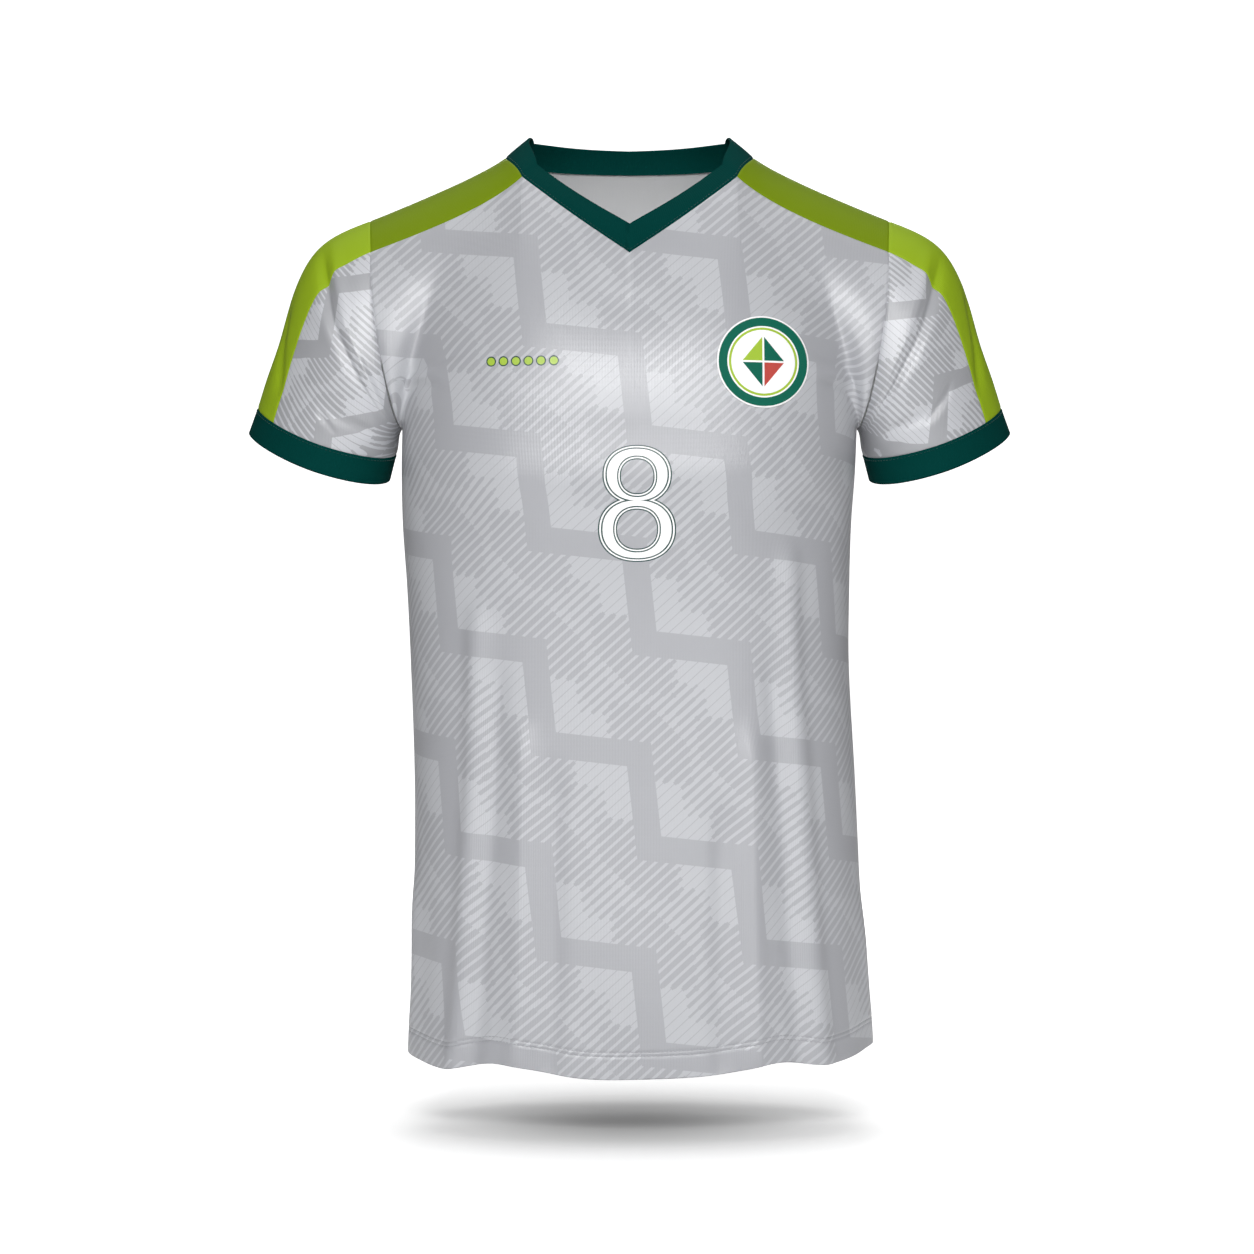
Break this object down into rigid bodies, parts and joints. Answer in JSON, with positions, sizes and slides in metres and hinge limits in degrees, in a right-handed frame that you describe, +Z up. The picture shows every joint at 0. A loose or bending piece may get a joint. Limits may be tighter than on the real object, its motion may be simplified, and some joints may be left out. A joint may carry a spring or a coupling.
{
  "type": "football jersey",
  "caption": "Short-sleeved V-neck football jersey, filled out as worn, with rib collar and cuffs and a stripe from neck to cuff.",
  "frame": {"origin": "midway between the two points where the shoulder lines meet the collar, at their height; the wearer's shoulders hold the jersey up there", "axes": "+Z up along the body; the front faces -Y; +X is towards the wearer's left sleeve"},
  "size_m": [0.6048, 0.2517, 0.7323],
  "materials": {
    "jersey_cloth": "light grey knit with a tonal printed pattern",
    "lime_cloth": "plain lime knit",
    "green_rib": "dark green rib knit",
    "badge_patch": "woven round patch in white, green, lime and red"
  },
  "bodies": {
    "root": {"front": "jersey_cloth", "back": "jersey_cloth", "shoulder_stripe_left": "lime_cloth", "shoulder_stripe_right": "lime_cloth", "sleeve_stripe_left": "lime_cloth", "sleeve_stripe_right": "lime_cloth", "sleeve_front_left": "jersey_cloth", "sleeve_front_right": "jersey_cloth", "sleeve_back_left": "jersey_cloth", "sleeve_back_right": "jersey_cloth", "cuff_left": "green_rib", "cuff_right": "green_rib", "collar": "green_rib", "badge": "badge_patch"}
  },
  "joints": []
}
